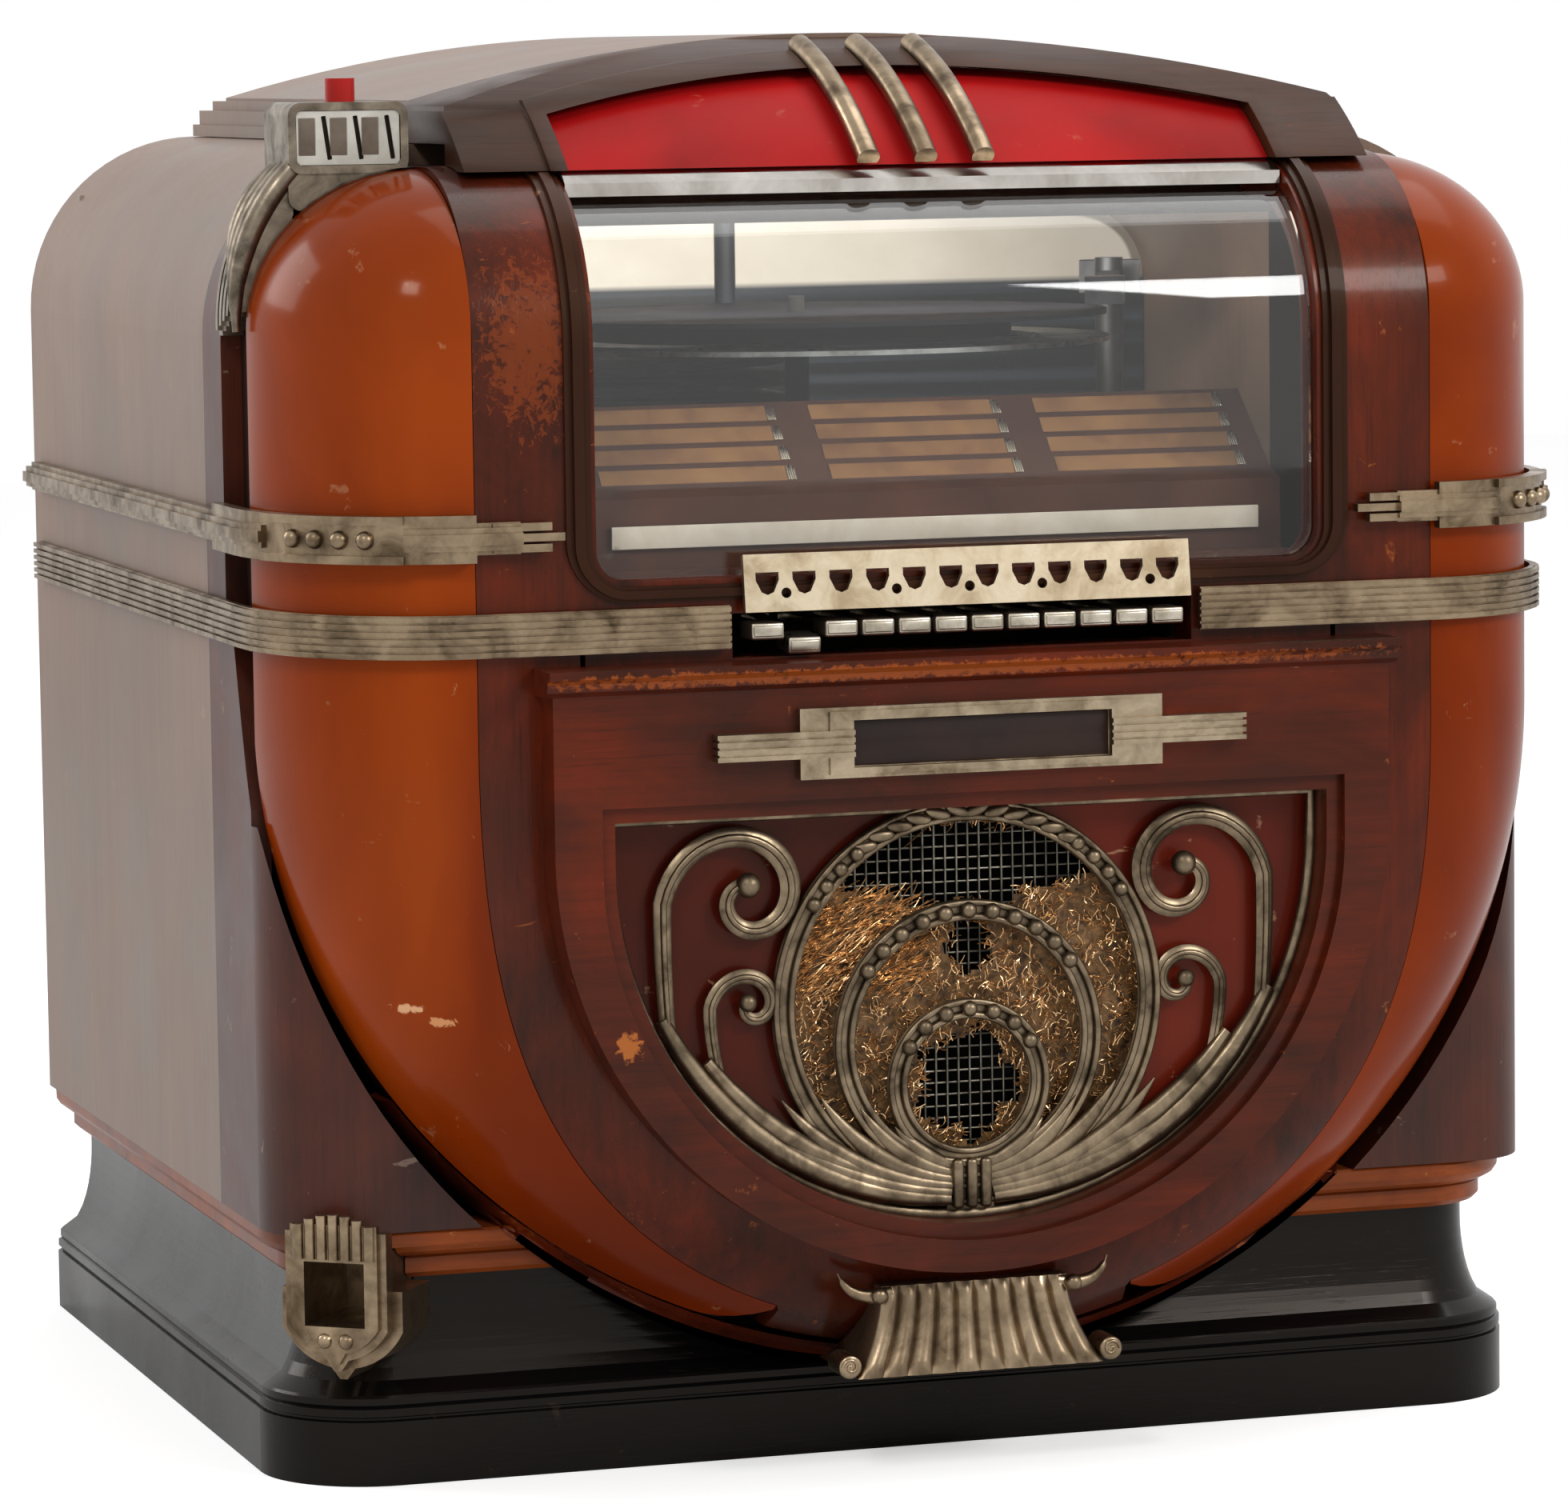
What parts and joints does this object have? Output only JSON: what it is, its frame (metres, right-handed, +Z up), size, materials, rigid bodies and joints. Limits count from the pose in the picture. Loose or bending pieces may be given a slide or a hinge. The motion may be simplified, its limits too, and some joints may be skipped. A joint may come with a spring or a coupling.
{
  "type": "tabletop jukebox",
  "caption": "Tabletop record player cabinet with bowed plastic pilasters, arched lid, window over title strips, selector keys, scrolled speaker grille and coin head.",
  "frame": {"origin": "middle of the plinth's underside, on the surface it stands on", "axes": "+X to the right seen from the front, +Y to the back, +Z up"},
  "size_m": [0.54, 0.5034, 0.555],
  "materials": {
    "base_black": "black lacquer, gloss",
    "stripe_moulding": "orange-brown lacquer, gloss",
    "side_veneer": "faded veneer, satin",
    "dark_inside": "black paint, matte",
    "walnut": "red-brown lacquer, gloss",
    "walnut_dark": "red-brown lacquer, satin",
    "cap_wood": "brown lacquer, satin",
    "trim_brown": "ribbed, gloss",
    "window_glass": "clear",
    "nickel": "polished nickel",
    "amber_plastic": "translucent amber, gloss",
    "cast_metal": "dulled plating, satin",
    "red_panel": "red, gloss",
    "hinge_steel": "worn",
    "back_board": "plain board, matte",
    "nameplate_metal": "satin",
    "red_backing": "dark red, gloss",
    "gold_cloth": "tinsel weave",
    "mesh_wire": "dull wire",
    "speaker_black": "black, matte",
    "coin_grey": "grey casting, satin",
    "coin_plate": "white enamel, gloss",
    "button_red": "gloss",
    "selector_metal": "cream enamel, gloss",
    "key_plastic": "aged ivory, gloss",
    "title_brown": "brown paint, satin",
    "title_card": "aged card",
    "reflector": "silvered sheet",
    "deck_grey": "grey paint, satin",
    "platter_dark": "dark paint with flock",
    "stack_dark": "shellac, gloss",
    "tray_steel": "satin",
    "record_black": "grooved shellac, gloss",
    "arm_metal": "satin",
    "amp_grey": "grey paint, satin"
  },
  "bodies": {
    "cabinet": {"base_plinth": "base_black", "base_stripe": "stripe_moulding", "cabinet_shell": "side_veneer", "front_bulkhead": "dark_inside", "lower_surround": "walnut", "front_frame": "walnut", "window_trim": "trim_brown", "window_glass": "window_glass", "chrome_strip": "nickel", "pilaster_upper_left": "amber_plastic", "pilaster_upper_right": "amber_plastic", "pilaster_lower_left": "amber_plastic", "pilaster_lower_right": "amber_plastic", "upper_band_left": "cast_metal", "upper_band_right": "cast_metal", "lower_band_left": "cast_metal", "lower_band_right": "cast_metal", "lid_hinge": "hinge_steel", "lower_panel": "walnut_dark", "nameplate_frame": "nameplate_metal", "grille_casting": "cast_metal", "grille_backing": "red_backing", "grille_cloth": "gold_cloth", "grille_mesh": "mesh_wire", "speaker": "speaker_black", "foot_ornament": "cast_metal", "coin_return": "cast_metal", "coin_casting": "coin_grey", "coin_slot_plate": "coin_plate", "selector_plate": "selector_metal", "selector_housing": "dark_inside", "title_board": "title_brown", "title_cards": "title_card", "mirror_panel": "reflector", "mechanism_plate": "deck_grey", "record_magazine": "stack_dark", "play_tray": "tray_steel", "amplifier": "amp_grey"},
    "lid": {"lid_panel": "side_veneer", "lid_front_cap": "cap_wood", "lid_red_panel": "red_panel", "lid_fins": "cast_metal", "lid_hinge_leaf": "hinge_steel"},
    "back_door": {"back_door": "back_board"},
    "reject_button": {"reject_button": "button_red"},
    "turntable": {"turntable": "platter_dark", "play_record": "record_black"},
    "tone_arm": {"tone_arm": "arm_metal"},
    "key_01": {"selector_key_01": "key_plastic"},
    "key_02": {"selector_key_02": "key_plastic"},
    "key_03": {"selector_key_03": "key_plastic"},
    "key_04": {"selector_key_04": "key_plastic"},
    "key_05": {"selector_key_05": "key_plastic"},
    "key_06": {"selector_key_06": "key_plastic"},
    "key_07": {"selector_key_07": "key_plastic"},
    "key_08": {"selector_key_08": "key_plastic"},
    "key_09": {"selector_key_09": "key_plastic"},
    "key_10": {"selector_key_10": "key_plastic"},
    "key_11": {"selector_key_11": "key_plastic"},
    "key_12": {"selector_key_12": "key_plastic"}
  },
  "joints": [
    {"name": "lid_hinge", "type": "hinge", "parent": "cabinet", "child": "lid", "pos_m": [0, 0.2095, 0.5184], "axis": [-1, 0, 0], "range_deg": [0, 75]},
    {"name": "back_door_hinge", "type": "hinge", "parent": "cabinet", "child": "back_door", "pos_m": [-0.24, 0.209, 0.3], "axis": [0, 0, 1], "range_deg": [0, 110]},
    {"name": "reject_press", "type": "slide", "parent": "cabinet", "child": "reject_button", "axis": [0, 0, -1], "range_m": [0, 0.003], "stiffness_N_per_m": 200, "springref_m": -0.002},
    {"name": "turntable_spin", "type": "hinge", "parent": "cabinet", "child": "turntable", "pos_m": [0, -0.06, 0.43], "axis": [0, 0, 1], "continuous": true},
    {"name": "tone_arm_swing", "type": "hinge", "parent": "cabinet", "child": "tone_arm", "pos_m": [0.17, 0.03, 0.45], "axis": [0, 0, 1], "range_deg": [-29, 16]},
    {"name": "key_01_press", "type": "hinge", "parent": "cabinet", "child": "key_01", "pos_m": [-0.08085, -0.205, 0.33], "axis": [1, 0, 0], "range_deg": [0, 5]},
    {"name": "key_02_press", "type": "hinge", "parent": "cabinet", "child": "key_02", "pos_m": [-0.06615, -0.205, 0.33], "axis": [1, 0, 0], "range_deg": [-5, 0]},
    {"name": "key_03_press", "type": "hinge", "parent": "cabinet", "child": "key_03", "pos_m": [-0.05145, -0.205, 0.33], "axis": [1, 0, 0], "range_deg": [0, 5]},
    {"name": "key_04_press", "type": "hinge", "parent": "cabinet", "child": "key_04", "pos_m": [-0.03675, -0.205, 0.33], "axis": [1, 0, 0], "range_deg": [0, 5]},
    {"name": "key_05_press", "type": "hinge", "parent": "cabinet", "child": "key_05", "pos_m": [-0.02205, -0.205, 0.33], "axis": [1, 0, 0], "range_deg": [0, 5]},
    {"name": "key_06_press", "type": "hinge", "parent": "cabinet", "child": "key_06", "pos_m": [-0.00735, -0.205, 0.33], "axis": [1, 0, 0], "range_deg": [0, 5]},
    {"name": "key_07_press", "type": "hinge", "parent": "cabinet", "child": "key_07", "pos_m": [0.00735, -0.205, 0.33], "axis": [1, 0, 0], "range_deg": [0, 5]},
    {"name": "key_08_press", "type": "hinge", "parent": "cabinet", "child": "key_08", "pos_m": [0.02205, -0.205, 0.33], "axis": [1, 0, 0], "range_deg": [0, 5]},
    {"name": "key_09_press", "type": "hinge", "parent": "cabinet", "child": "key_09", "pos_m": [0.03675, -0.205, 0.33], "axis": [1, 0, 0], "range_deg": [0, 5]},
    {"name": "key_10_press", "type": "hinge", "parent": "cabinet", "child": "key_10", "pos_m": [0.05145, -0.205, 0.33], "axis": [1, 0, 0], "range_deg": [0, 5]},
    {"name": "key_11_press", "type": "hinge", "parent": "cabinet", "child": "key_11", "pos_m": [0.06615, -0.205, 0.33], "axis": [1, 0, 0], "range_deg": [0, 5]},
    {"name": "key_12_press", "type": "hinge", "parent": "cabinet", "child": "key_12", "pos_m": [0.08085, -0.205, 0.33], "axis": [1, 0, 0], "range_deg": [0, 5]}
  ]
}
